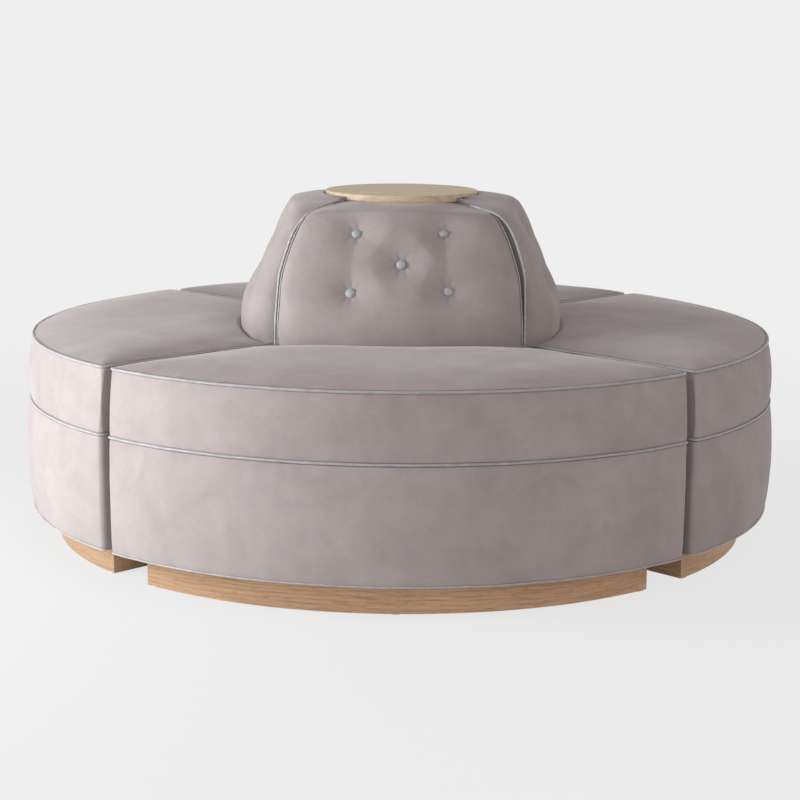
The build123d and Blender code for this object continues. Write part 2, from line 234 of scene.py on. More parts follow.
makeCamera()
makeSky()
makeLamps()
makeFloor()
scene.view_settings.view_transform = "Standard"
print("camera, floor and light are set")


# ---- shared shader groups

def makeNapGroup():
    # cut pile: broad brushed patches, faint streaks down the cloth, and the weave that shows through it
    group, start, end = newTree(
        "clothNap", "ShaderNodeTree",
        ["Vector Vector", "Light Color", "Dark Color", "Patch Float", "Streak Float", "Grain Float"],
        ["Colour Color", "Height Float"])
    plus, minus, times = sums(group)
    where = start["Vector"]
    broad = noise(group, where, 3.6, 3.0, 0.6, 0.7)
    patch = noise(group, where, 15.0, 4.0, 0.62, 0.5)
    streak = noise(group, where, (34.0, 7.0, 14.0), 3.0, 0.6, 0.3)
    warp = noise(group, where, (520.0, 70.0, 1.0), 2.0, 0.6)
    weft = noise(group, where, (70.0, 520.0, 1.0), 2.0, 0.6)
    fibre = noise(group, where, 900.0, 2.0, 0.7)
    clouds = plus(times(minus(broad, 0.5), 0.8), times(minus(patch, 0.5), 0.7))
    weave = plus(minus(warp, 0.5), minus(weft, 0.5))
    brushed = plus(times(clouds, start["Patch"]), times(minus(streak, 0.5), start["Streak"]))
    share = plus(plus(brushed, times(weave, start["Grain"])), 0.5)
    share.node.use_clamp = True
    feed(group, end, {"Colour": mixColour(group, share, start["Dark"], start["Light"]),
                      "Height": plus(times(weave, 0.7), times(fibre, 0.5))})
    return group


def makeGrainGroup():
    # flat-sawn board: the vector runs along the grain in X, across it in Y and into the board in Z
    group, start, end = newTree(
        "boardGrain", "ShaderNodeTree",
        ["Vector Vector", "Light Color", "Dark Color", "Pore Color", "Rings Float", "Figure Float"],
        ["Colour Color", "Height Float", "Rough Float"])
    plus, minus, times = sums(group)
    where = start["Vector"]
    parts = put(group, "ShaderNodeSeparateXYZ", {0: where}).outputs
    bend = noise(group, where, (2.2, 9.0, 9.0), 3.0, 0.5)
    streak = noise(group, where, (7.0, 240.0, 240.0), 3.0, 0.6)
    pore = noise(group, where, (38.0, 900.0, 900.0), 2.0, 0.6)
    patch = noise(group, where, (3.0, 14.0, 14.0), 2.0, 0.5)
    across = plus(plus(parts["Y"], times(bend, 0.09)), times(parts["Z"], 0.6))
    wave = mathNode(group, "SINE", times(times(across, start["Rings"]), 6.283))
    ring = mathNode(group, "POWER", times(plus(wave, 1.0), 0.5), 2.2)
    share = plus(times(ring, times(start["Figure"], 0.55)), spread(group, streak, 0.30, 0.72, -0.10, 0.45))
    share = plus(share, spread(group, patch, 0.3, 0.7, -0.12, 0.18))
    share.node.use_clamp = True
    poreMask = spread(group, pore, 0.58, 0.70, 0.0, 0.75)
    body = mixColour(group, share, start["Light"], start["Dark"])
    feed(group, end, {"Colour": mixColour(group, poreMask, body, start["Pore"]),
                      "Height": minus(times(streak, 0.35), poreMask),
                      "Rough": spread(group, poreMask, 0.0, 1.0, 0.52, 0.72)})
    return group


napGroup, grainGroup = makeNapGroup(), makeGrainGroup()


# ---- materials: each look gives the shader's inputs and the height of the fine surface

def objectPlace(tree, turn=0.0):
    place = put(tree, "ShaderNodeTexCoord").outputs["Object"]
    return put(tree, "ShaderNodeMapping", {"Vector": place, "Rotation": (0, 0, turn)}).outputs["Vector"]


velvet = {
    "nap": {"Light": (0.398, 0.350, 0.343, 1), "Dark": (0.260, 0.222, 0.216, 1),
            "Patch": 1.1, "Streak": 0.22, "Grain": 0.30},
    "pile": {"Roughness": 0.82, "Specular IOR Level": 0.25, "Sheen Weight": 0.27, "Sheen Roughness": 0.34,
             "Sheen Tint": (0.96, 0.93, 0.92, 1)},
}


def velvetLook(tree):
    cloth = put(tree, "ShaderNodeUVMap", uv_map="clothLay").outputs["UV"]
    nap = put(tree, "ShaderNodeGroup", {"Vector": cloth, **velvet["nap"]}, node_tree=napGroup).outputs
    return {"Base Color": nap["Colour"], **velvet["pile"]}, nap["Height"]


def satinLook(tree, light, dark, rough):
    # shiny cloth on the bias: fine slanting creases along the cord, with painted shade in the creases and painted
    # highlight on their ridges
    where = objectPlace(tree)
    creaseAndPaintedShade = noise(tree, where, (60.0, 60.0, 160.0), 3.0, 0.6)
    thread = waves(tree, where, 700.0, "DIAGONAL", 1.5)
    # painted shade and highlight: darker where the creases sink, lighter where they rise
    colour = mixColour(tree, spread(tree, creaseAndPaintedShade, 0.3, 0.7), dark, light)
    height = mathNode(tree, "ADD", creaseAndPaintedShade, mathNode(tree, "MULTIPLY", thread, 0.25))
    return {"Base Color": colour, "Roughness": rough, "Sheen Weight": 0.15}, height


def threadAndShadeLook(tree, light, dark):
    # thread colour, partly the thread's own and partly painted shade from its stitch holes and crease; the twist is
    # painted lighter on its ridges and darker in its grooves
    twistWithPaintedShade = waves(tree, objectPlace(tree), 1100.0, "DIAGONAL")
    return {"Base Color": mixColour(tree, twistWithPaintedShade, dark, light), "Roughness": 0.6}, twistWithPaintedShade


def roundBoard(tree, radius):
    # grain that follows a board bent round the sofa's axis
    parts = put(tree, "ShaderNodeSeparateXYZ", {0: objectPlace(tree)}).outputs
    turn = mathNode(tree, "ARCTAN2", parts["X"], parts["Y"])
    squares = [mathNode(tree, "POWER", parts[axis], 2.0) for axis in ("X", "Y")]
    out = mathNode(tree, "SQRT", mathNode(tree, "ADD", *squares))
    along = mathNode(tree, "MULTIPLY", turn, radius)
    return put(tree, "ShaderNodeCombineXYZ", {"X": along, "Y": parts["Z"], "Z": out}).outputs[0]


def boardLook(tree, colours, rings, figure, turn=0.0, bentTo=None):
    vector = roundBoard(tree, bentTo) if bentTo else objectPlace(tree, turn)
    light, dark, pore = colours
    grain = put(tree, "ShaderNodeGroup", {"Vector": vector, "Light": light, "Dark": dark, "Pore": pore,
                                          "Rings": rings, "Figure": figure}, node_tree=grainGroup).outputs
    return {"Base Color": grain["Colour"], "Roughness": grain["Rough"], "Specular IOR Level": 0.35}, grain["Height"]


def plainLook(tree, light, dark, scale, rough, metallic):
    # small hidden or plain pieces: mottled colour with a fine surface
    where = objectPlace(tree)
    mottle = noise(tree, where, scale, 3.0, 0.6)
    fine = noise(tree, where, scale * 12, 2.0, 0.6)
    return {"Base Color": mixColour(tree, mottle, dark, light), "Metallic": metallic,
            "Roughness": spread(tree, fine, 0.2, 0.8, rough - 0.08, rough + 0.08)}, fine


def wovenLook(tree, light, dark, count, rough):
    # plain weave for straps and the dust cloth
    where = objectPlace(tree)
    weave = mathNode(tree, "MAXIMUM", *(waves(tree, where, count, direction, 0.6) for direction in ("X", "Y")))
    return {"Base Color": mixColour(tree, weave, dark, light), "Roughness": rough}, weave


def finished(name, look, relief, *values):
    # relief is the strength and the height in metres of the fine surface
    made = bpy.data.materials.new(name)
    made.use_nodes = True
    tree = made.node_tree
    inputs, height = look(tree, *values)
    bump = put(tree, "ShaderNodeBump", {"Height": height, "Strength": relief[0], "Distance": relief[1]})
    feed(tree, tree.nodes["Principled BSDF"], {**inputs, "Normal": bump.outputs["Normal"]})
    return made


plinthOak = [(0.660, 0.425, 0.258, 1), (0.335, 0.188, 0.098, 1), (0.165, 0.088, 0.048, 1)]  # light, dark and pores
topOak = [(0.600, 0.480, 0.350, 1), (0.440, 0.318, 0.205, 1), (0.240, 0.168, 0.108, 1)]
plywood = [(0.60, 0.44, 0.27, 1), (0.46, 0.32, 0.18, 1), (0.33, 0.22, 0.12, 1)]
satinRelief, woodRelief, wovenRelief = (0.35, 0.0008), (0.4, 0.0005), (0.4, 0.0004)
finishes = {  # name, look, relief, and what the look needs
    "velvet": ("taupeVelvet", velvetLook, (0.25, 0.0006)),
    "piping": ("blueGreySatin", satinLook, satinRelief, (0.395, 0.398, 0.424, 1), (0.280, 0.272, 0.278, 1), 0.50),
    "backPiping": ("backEdgeSatin", satinLook, satinRelief, (0.500, 0.515, 0.540, 1), (0.340, 0.345, 0.360, 1), 0.46),
    # the front back's cord: its cream colour, paler than the other cords, is a painted highlight for light reflecting
    # off the satin
    "frontPiping": ("creamEdgeSatin", satinLook, satinRelief, (0.560, 0.520, 0.495, 1), (0.400, 0.362, 0.345, 1), 0.46),
    "buttonCloth": ("buttonSatin", satinLook, satinRelief, (0.410, 0.435, 0.462, 1), (0.290, 0.303, 0.322, 1), 0.50),
    # the thread's dark colours are partly painted shade from the stitch holes and the crease along the stitch line
    "thread": ("sewingThread", threadAndShadeLook, (0.3, 0.0002), (0.110, 0.093, 0.096, 1), (0.055, 0.045, 0.047, 1)),
    "plinthBent": ("plinthOak", boardLook, woodRelief, plinthOak, 96.0, 0.42, 0.0, 0.858),
    "plinthStraight": ("plinthSideOak", boardLook, woodRelief, plinthOak, 96.0, 0.42, halfModule),
    "tableOak": ("tableTopOak", boardLook, woodRelief, topOak, 38.0, 0.9),
    "plywood": ("framePlywood", boardLook, woodRelief, plywood, 30.0, 0.6),
    "nylon": ("glideNylon", plainLook, (0.3, 0.0002), (0.70, 0.67, 0.60, 1), (0.60, 0.57, 0.51, 1), 60.0, 0.5, 0.0),
    "zinc": ("zincSteel", plainLook, (0.3, 0.0001), (0.62, 0.63, 0.66, 1), (0.48, 0.49, 0.52, 1), 300.0, 0.35, 1.0),
    "webbing": ("strapWeave", wovenLook, wovenRelief, (0.12, 0.105, 0.085, 1), (0.045, 0.04, 0.033, 1), 160.0, 0.85),
    "dustCloth": ("blackCambric", wovenLook, wovenRelief, (0.022, 0.022, 0.024, 1), (0.008, 0.008, 0.009, 1), 320.0, 0.92),
}
materials = {label: finished(*values) for label, values in finishes.items()}
print("materials made:", len(materials))


# ---- plan lines of the front module

def fan(reach, angle):
    # plan points from their distance to the sofa's axis and their angle from the module's middle
    return np.column_stack([reach * np.sin(angle), -reach * np.cos(angle)])


def raised(points, height):
    return np.column_stack([points, np.full(len(points), height)])


def planRun(radius, side, corner, start, counts):
    # up the left side, round the rim and down the right side; counts are for a side, a corner and the rim
    along = math.sqrt((radius - corner) ** 2 - (side + corner) ** 2)
    lean = math.atan2(side + corner, along)
    nSide, nCorner, nRim = counts
    bend = np.linspace(-math.pi / 2, lean, nCorner, endpoint=False)
    arc = np.linspace(lean, halfModule, nRim // 2 + 1)
    half = np.vstack([
        raised(np.linspace(start, along, nSide, endpoint=False), side),
        np.column_stack([along + corner * np.cos(bend), side + corner + corner * np.sin(bend)]),
        np.column_stack([radius * np.cos(arc), radius * np.sin(arc)])])
    x, y = np.vstack([half, half[-2::-1, ::-1]]).T
    turn = math.radians(-135.0)  # from between +X and +Y to the front
    return np.column_stack([x * math.cos(turn) - y * math.sin(turn), x * math.sin(turn) + y * math.cos(turn)])


def runLength(points):
    steps = np.linalg.norm(np.diff(points, axis=0), axis=1)
    return np.concatenate([[0.0], np.cumsum(steps)])


def bandRun(form, share, low, high, tall, start):
    # the plan of a filled band at a share of its height, and how far that is from the nearer of its seams:
    # it stands out between the seams and between its corners, and is held in at them
    near = min(share, 1 - share) * tall
    pull = form["tuck"] * math.exp(-near / 0.0045)
    swell = math.sin(math.pi * share) ** 0.75
    radius, side = low + (high - low) * share - pull, moduleSide + pull * 0.5
    plain = planRun(radius, side, sofa["corner"], start, form["counts"])
    out, outSide = radius + form["bulge"] * swell, side - form["sideBulge"] * swell
    full = planRun(out, outSide, sofa["corner"], start, form["counts"])
    along = runLength(plain)
    corner = form["counts"][0] + form["counts"][1] // 2
    away = np.minimum(np.abs(along - along[corner]), np.abs(along - along[-1 - corner]))
    held = 0.12 + 0.88 * (1 - np.exp(-(away / 0.075) ** 1.3))
    return plain + (full - plain) * held[:, None], near


def wander(along, wave, seed):
    # smooth seeded noise along a line, about -1 to 1
    random = np.random.default_rng(seed)
    total = np.zeros_like(along)
    for octave in range(2):
        step = wave / 2 ** octave
        knots = random.uniform(-1, 1, int(along.max() / step) + 4)
        low = np.floor(along / step).astype(int)
        share = along / step - low
        share = share * share * (3 - 2 * share)
        total += (knots[low] * (1 - share) + knots[low + 1] * share) / 1.6 ** octave
    return total / 1.4


def eased(value, low, high):
    share = np.clip((value - low) / (high - low), 0, 1)
    return share * share * (3 - 2 * share)


def fromSegment(points, a, b):
    # distance from each point to the line from a to b, and its place along that line
    share = np.clip((points - a) @ (b - a) / max(np.dot(b - a, b - a), 1e-12), 0, 1)
    return np.linalg.norm(points - (a + share[:, None] * (b - a)), axis=1), share


# ---- meshes

def makePiece(name, points, faces, material, uv=None):
    mesh = bpy.data.meshes.new(name)
    mesh.from_pydata([tuple(p) for p in points], [], [tuple(f) for f in faces])
    if uv is not None:
        layer = mesh.uv_layers.new(name="clothLay")
        corners = np.zeros(len(mesh.loops), int)
        mesh.loops.foreach_get("vertex_index", corners)
        layer.data.foreach_set("uv", np.asarray(uv, float)[corners].ravel())
    mesh.materials.append(material)
    mesh.validate()
    mesh.update()
    for face in mesh.polygons:
        face.use_smooth = face.loop_total < 5  # the large hidden walls stay flat
    made = bpy.data.objects.new(name, mesh)
    scene.collection.objects.link(made)
    return made


def gridFaces(rows, columns, offset=0, closed=False, flip=False):
    faces = []
    for row in range(rows - 1):
        for column in range(columns if closed else columns - 1):
            a, b = (offset + row * columns + k % columns for k in (column, column + 1))
            quad = (a, b, b + columns, a + columns)
            faces.append(quad[::-1] if flip else quad)
    return faces


def tubeFaces(rows, columns):
    # a grid whose last row meets its first, with both ends filled
    count, last = rows * columns, (rows - 1) * columns
    faces = gridFaces(rows, columns) + [(last + k, last + k + 1, k + 1, k) for k in range(columns - 1)]
    return faces + [tuple(range(0, count, columns)), tuple(range(count - 1, 0, -columns))]


def vertexData(mesh, kind="co"):
    out = np.zeros(len(mesh.vertices) * 3)
    mesh.vertices.foreach_get(kind, out)
    return out.reshape(-1, 3)


def writePoints(made, points):
    made.data.vertices.foreach_set("co", np.asarray(points, float).ravel())
    made.data.update()


def pushOut(made, amount):
    writePoints(made, vertexData(made.data) + vertexData(made.data, "normal") * amount[:, None])


stuffing = {"tension_stiffness": 18, "compression_stiffness": 18, "shear_stiffness": 8, "bending_stiffness": 1.5,
            "quality": 4, "mass": 0.3, "vertex_group_mass": "seams", "use_pressure": True}


def stuff(made, held, cap, pressure, frames=20):
    # lets the filling push the cover out between its seams, then keeps the result in the mesh
    start = vertexData(made.data)
    group = made.vertex_groups.new(name="seams")
    group.add([int(index) for index in np.nonzero(held)[0]], 1.0, "REPLACE")
    cloth = made.modifiers.new("stuffing", "CLOTH")
    for label, value in stuffing.items():
        setattr(cloth.settings, label, value)
    cloth.settings.uniform_pressure_force = pressure
    cloth.settings.effector_weights.gravity = 0.0
    cloth.collision_settings.use_collision = False
    cloth.point_cache.frame_start, cloth.point_cache.frame_end = 1, frames
    for number in range(1, frames + 1):
        scene.frame_set(number)
    shape = made.evaluated_get(bpy.context.evaluated_depsgraph_get())
    move = vertexData(shape.data) - start
    made.modifiers.remove(cloth)
    made.vertex_groups.clear()
    scene.frame_set(1)
    size = np.linalg.norm(move, axis=1)
    move *= (cap * np.tanh(size / cap) / np.maximum(size, 1e-9))[:, None]
    writePoints(made, start + move)
    kept = np.linalg.norm(move, axis=1).max()
    print("  stuffed", made.name, "most", round(size.max() * 1000, 1), "mm, kept", round(kept * 1000, 1))


def copyPiece(source, number, nodeName, shape=None):
    # the same piece for one of the modules, cut from another part of the cloth
    place = places[number]
    name = place + source.name[0].upper() + source.name[1:]
    mesh = source.data.copy()
    mesh.name = name
    made = bpy.data.objects.new(name, mesh)
    if shape:
        writePoints(made, shape(vertexData(mesh), number))
    for layer in mesh.uv_layers:
        uv = np.zeros(len(layer.data) * 2)
        layer.data.foreach_get("uv", uv)
        layer.data.foreach_set("uv", (uv.reshape(-1, 2) + (3.7 * number, 1.9 * number)).ravel())
    mesh.transform(Matrix.Rotation(math.radians(90.0 * number), 4, "Z"))
    scene.collection.objects.link(made)
    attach(made, f"{place}_module")
    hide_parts(*([f"{place}_{nodeName}"] if nodeName else []))
    return made


def forModules(source, nodeName, extra=None, shape=None):
    for number in range(len(places)):
        made = copyPiece(source, number, nodeName, shape)
        if extra:
            extra(made, number)
    bpy.data.objects.remove(source)


# ---- back form, shared by the back cushion, its piping and its buttons

backForm = {  # distances as shares of the foot's, heights as shares of the rise above the seat's edge
    "foot": 0.398, "faceAxis": -0.75, "crestAxis": 0.327, "meet": 0.014,
    "rim": 0.1980, "top": 0.8325, "footLevel": 0.50,
    "face": [(0.151, 1.0), (0.258, 0.985), (0.368, 0.940), (0.658, 0.828), (1.0, 0.668)],
    "crest": [(0.151, 1.170), (0.500, 1.138), (0.739, 1.060), (0.867, 0.957), (0.925, 0.846), (0.977, 0.600)],
}
backRise = sofa["height"] - sofa["seatEdge"]
levelLine = np.arange(0.380, 0.842, 0.001)


def softened(line, width):
    reach = int(width * 3)
    kernel = np.exp(-0.5 * (np.arange(-reach, reach + 1) / width) ** 2)
    past = line[-1] + (line[-1] - line[-2]) * np.arange(1, reach + 1)
    padded = np.concatenate([np.full(reach, line[0]), line, past])
    return np.convolve(padded, kernel / kernel.sum(), "valid")


def reachLine(rings):
    levels = [sofa["seatEdge"] + backRise * rise for rise, _ in rings]
    reaches = [backForm["foot"] * reach for _, reach in rings]
    line = np.interp(levelLine, levels, reaches)
    slope = (reaches[-1] - reaches[-2]) / (levels[-1] - levels[-2])
    past = levelLine > levels[-1]
    line[past] = reaches[-1] + slope * (levelLine[past] - levels[-1])
    return softened(line, 7)


faceLine, crestLine = reachLine(backForm["face"]), reachLine(backForm["crest"])


def offAxis(reach, share, angle):
    axis = backForm["foot"] * share
    return axis * np.cos(angle) + np.sqrt(np.maximum((reach - axis) ** 2 - (axis * np.sin(angle)) ** 2, 1e-6))


def backReach(angle, level):
    # distance from the sofa's axis to the back's surface, for an angle from the module's middle
    face = offAxis(np.interp(level, levelLine, faceLine), backForm["faceAxis"], angle)
    crest = offAxis(np.interp(level, levelLine, crestLine), backForm["crestAxis"], angle)
    meet = backForm["meet"]
    share = np.clip(0.5 + 0.5 * (crest - face) / meet, 0, 1)
    return crest * (1 - share) + face * share - meet * share * (1 - share)


def seamFoot():
    # how far out along a module's side its back stands on the seat
    along = 0.42
    for _ in range(8):
        angle = halfModule - math.atan2(moduleSide, along)
        along = math.sqrt(backReach(angle, backForm["footLevel"]) ** 2 - moduleSide ** 2)
    return along


ownBack = {
    "reach": [0.180, 0.198, 0.228, 0.259, 0.281, 0.299, 0.325], "frontTilt": 0.0014,
    "middleDrop": [0.0095, 0.0095, 0.0108, 0.0112, 0.0085, 0.0055, 0.0],
    "edgeDrop": [0.0070, 0.0070, 0.0066, 0.0052, 0.0036, 0.0022, 0.0],
    "rightSwell": 0.0145, "close": 0.0040,
}


def dropAt(reach, values):
    fine = np.arange(0.170, 0.340, 0.001)
    return np.interp(reach, fine, softened(np.interp(fine, ownBack["reach"], values), 5))


def ownShape(points, number):
    # the front back lies a little lower, under the table's edge, the right one is fuller, and all close up at the top
    out = points.copy()
    x, y, z = points.T
    reach = np.hypot(x, y)
    fromSeam = (-y - np.abs(x)) / math.sqrt(2)
    shut = ownBack["close"] * np.exp(-np.maximum(fromSeam - backSide, 0) / 0.020)
    shut *= eased(z, 0.765, 0.805) * eased(reach, 0.08, 0.18)
    out[:, 0] += np.sign(x) * shut / math.sqrt(2)
    out[:, 1] += shut / math.sqrt(2)
    if number == 0:
        edge = np.clip(np.arctan2(np.abs(x), -y) / math.radians(44), 0, 1) ** 2
        drop = (1 - edge) * dropAt(reach, ownBack["middleDrop"]) + edge * dropAt(reach, ownBack["edgeDrop"])
        drop += ownBack["frontTilt"] * np.clip(x / 0.15, -1, 1) * (drop > 0.0001)
        out[:, 2] -= drop * eased(z, 0.745, 0.790)
    if number == 1:
        swell = ownBack["rightSwell"] * eased(z, 0.50, 0.74) * eased(-z, -0.842, -0.805) * eased(reach, 0.21, 0.27)
        out[:, :2] *= (1 + swell / np.maximum(reach, 0.01))[:, None]
    return out


def evenly(points, count):
    along = runLength(points)
    wanted = np.linspace(0, along[-1], count)
    return np.column_stack([np.interp(wanted, along, column) for column in points.T])


def backColumn(across, side, count, low=0.44):
    # up the face, over the crest and in to the ring round the table; across runs from -1 at the left piping to 1
    levels = np.arange(low, backForm["top"], 0.002)
    angle = np.full(len(levels), across * math.radians(43.5))
    for _ in range(6):
        reach = backReach(angle, levels)
        angle = across * (halfModule - np.arcsin(side / reach))
    run = np.column_stack([fan(reach, angle), levels])
    last = run[-1]
    share = np.linspace(0.15, 1.0, 9)
    edge = across * (halfModule - math.asin(side / backForm["rim"]))
    reach = math.hypot(last[0], last[1]) * (1 - share) + backForm["rim"] * share
    inward = fan(reach, math.atan2(last[0], -last[1]) * (1 - share) + edge * share)
    run = evenly(np.vstack([run, raised(inward, backForm["top"])]), 260)
    smooth = np.column_stack([softened(column, 4) for column in run.T])
    smooth[0], smooth[-1] = run[0], run[-1]
    return evenly(smooth, count)


tufts = {  # places as degrees and share of the rise
    "places": [(-19.9, 0.788), (19.4, 0.797), (0.3, 0.585), (-18.4, 0.397), (17.9, 0.411)], "foldWidth": 0.026,
    "depth": 0.0205, "nearDepth": 0.0090, "nearWidth": 0.020, "wideDepth": 0.0115, "wideWidth": 0.060,
    "folds": [(0, 3, 0.0052), (1, 4, 0.0052), (2, 0, 0.0022), (2, 1, 0.0022), (2, 3, 0.0018), (2, 4, 0.0018)],
    "step": 0.004, "reach": 0.3,
}


def backPoint(angle, level):
    reach = float(backReach(angle, level))
    return Vector((reach * math.sin(angle), -reach * math.cos(angle), level))


def tuftPoints():
    # place and outward direction of each tuft on the smooth form of the front back
    out = []
    step, turn = tufts["step"], tufts["step"] / tufts["reach"]
    for degrees, rise in tufts["places"]:
        angle, level = math.radians(degrees), sofa["seatEdge"] + backRise * rise
        across = backPoint(angle + turn, level) - backPoint(angle - turn, level)
        upward = backPoint(angle, level + step) - backPoint(angle, level - step)
        out.append((backPoint(angle, level), across.cross(upward).normalized()))
    return out


tuftList = tuftPoints()
tuftPlaces = [np.array(centre) for centre, _ in tuftList]


def dent(points):
    # how far each point is pulled in by the buttons and by the folds between them
    away = np.min([np.linalg.norm(points - place, axis=1) for place in tuftPlaces], axis=0)
    near = np.exp(-(np.maximum(away - 0.009, 0) / tufts["nearWidth"]) ** 1.1)
    wide = np.exp(-(away / tufts["wideWidth"]) ** 2)
    total = tufts["nearDepth"] * near + tufts["wideDepth"] * wide
    for first, second, pull in tufts["folds"]:
        away, share = fromSegment(points, tuftPlaces[first], tuftPlaces[second])
        ends = np.sin(math.pi * np.clip(share, 0.02, 0.98)) ** 0.6
        total += pull * np.exp(-(away / tufts["foldWidth"]) ** 1.4) * ends
    return total


# ---- seat cushion

seat = {
    "counts": (64, 14, 216), "crown": 0.0175, "reach": 0.210, "lip": 0.0034, "footDip": 0.0070, "backDip": 0.0075,
    "bulge": 0.0095, "sideBulge": 0.0065, "tuck": 0.0024, "clearance": 0.0012,
    "pressure": 3.0, "cap": 0.0040, "bandCap": 0.0022, "pucker": 0.0011, "fill": 0.9,
}


def notchReach(angle):
    return backReach(angle, np.full_like(angle, backForm["footLevel"])) + seat["clearance"]


def seatGrid(line, start):
    # a grid over the seat's plan; its far corners sit in the middle of the rounded ones
    cut = seat["counts"][0] + seat["counts"][1] // 2
    left, right, far = line[:cut + 1], line[::-1][:cut + 1], line[cut:-cut]
    angles = np.linspace(-1, 1, len(far)) * (halfModule - math.asin(moduleSide / start))
    near = fan(notchReach(angles), angles)
    near[0], near[-1] = left[0], right[0]
    u = np.linspace(0, 1, len(far))[None, :, None]
    v = (runLength(left) / runLength(left)[-1])[:, None, None]
    sheet = (1 - v) * near[None] + v * far[None] + (1 - u) * left[:, None] + u * right[:, None]
    return sheet - ((1 - u) * (1 - v) * near[0] + u * (1 - v) * near[-1] + (1 - u) * v * far[0] + u * v * far[-1])


def makeSeat():
    rim, low = sofa["seatRadius"] - sofa["seamIn"], middleRadius - sofa["seamIn"]
    start = seamFoot() + seat["clearance"]
    line = planRun(rim, moduleSide, sofa["corner"], start, seat["counts"])
    grid = seatGrid(line, start)
    nUp, nAcross = grid.shape[:2]
    flat = grid.reshape(-1, 2)
    # height from the distances to the piped edge and to the back
    away = np.min([fromSegment(flat, a, b)[0] for a, b in zip(line[:-1], line[1:])], axis=0)
    fromBack = np.linalg.norm(flat, axis=1) - notchReach(np.arctan2(flat[:, 0], -flat[:, 1]))
    rise = seat["crown"] * (1 - (1 - np.clip(away / seat["reach"], 0, 1)) ** 2.5)
    rise += seat["lip"] * (1 - np.exp(-away / 0.006))
    rise -= seat["footDip"] * np.clip(1 - fromBack / 0.010, 0, 1) ** 2
    rise -= seat["backDip"] * np.exp(-(np.maximum(fromBack, 0) / 0.050) ** 1.5)
    top = np.column_stack([flat, sofa["seatEdge"] + 0.001 + rise])

    # the band below, in columns that continue the grid's own edge
    index = np.arange(len(top)).reshape(nUp, nAcross)
    loop = np.concatenate([index[0], index[1:, -1], index[-1, -2::-1], index[-2:0:-1, 0]])
    shares = np.concatenate([[0.0, 0.012, 0.03, 0.055], np.linspace(0.09, 0.91, 17), [0.945, 0.97, 0.988]])[::-1]
    upper, lower = sofa["seatEdge"] - 0.0005, sofa["middleWelt"] + 0.0015
    edge = flat[loop]
    count, onTop = len(loop), len(top)
    alongEdge = runLength(np.vstack([edge, edge[:1]]))[:-1]
    points, uv = [top], [flat]
    for share in shares:
        run, _ = bandRun(seat, share, low, rim, upper - lower, start)
        plan = np.vstack([edge[:nAcross], run[-2:0:-1]])
        plan[0], plan[nAcross - 1] = run[0], run[-1]
        height = lower + (upper - lower) * share
        points.append(raised(plan, height))
        uv.append(raised(alongEdge, height))
    points = np.vstack(points)
    faces = gridFaces(nUp, nAcross, flip=True)
    faces += [(onTop + k, onTop + (k + 1) % count, loop[(k + 1) % count], loop[k]) for k in range(count)]
    faces += gridFaces(len(shares), count, offset=onTop, closed=True, flip=True)
    faces.append(tuple(range(len(points) - count, len(points))))
    made = makePiece("seatCushion", points, faces, materials["velvet"], np.vstack(uv))

    # seams and hidden walls are held while the rest is stuffed
    share = np.repeat(shares, count)
    onNotch = np.tile(np.arange(count) < nAcross + 2, len(shares))
    held = np.concatenate([(away < 0.004) | (fromBack < 0.03), onNotch | (share > 0.97) | (share < 0.03)])
    held[loop] = True
    isTop = np.arange(len(points)) < onTop
    stuff(made, held, np.where(isTop, seat["cap"], seat["bandCap"]), seat["pressure"])

    # puckers where the cloth is gathered into the seams, and slow waves over the top
    height = points[onTop:, 2]
    near = np.concatenate([away, np.minimum(upper - height, height - lower)])
    closest = [np.argmin(np.sum((line - p) ** 2, axis=1)) if d < 0.09 else 0 for p, d in zip(flat, away)]
    bandAlong = np.where(np.arange(count) < nAcross, 0, alongEdge)
    along = np.concatenate([runLength(line)[closest], np.tile(bandAlong, len(shares))])
    gather = wander(along, 0.021, 11) * np.exp(-near / 0.014) * np.clip(near / 0.004, 0, 1)
    slow = wander(along, 0.16, 12) * np.exp(-near / 0.05) * 1.1
    x, y, _ = vertexData(made.data).T
    bumps = wander(x * 0.7 + y * 1.3 + 4.0, 0.19, 13) * 0.0011 + wander(x * 1.1 - y * 0.8 + 4.0, 0.13, 14) * 0.0008
    amount = seat["pucker"] * (gather * 1.3 + slow) + np.where(isTop, bumps * np.clip(near / 0.06, 0, 1), 0)
    amount[held] *= 0.25
    pushOut(made, amount)
    return made


seatSource = makeSeat()
print("seat cushion made:", len(seatSource.data.polygons), "faces")
forModules(seatSource, "seat_cushion")


# ---- base cover

baseCover = {"counts": (70, 12, 236), "foot": 0.0765, "bulge": 0.0105, "sideBulge": 0.0065, "tuck": 0.0024,
             "inner": 0.9030, "innerSide": 0.0235, "innerCorner": 0.014, "pucker": 0.0012, "fill": 1.0}


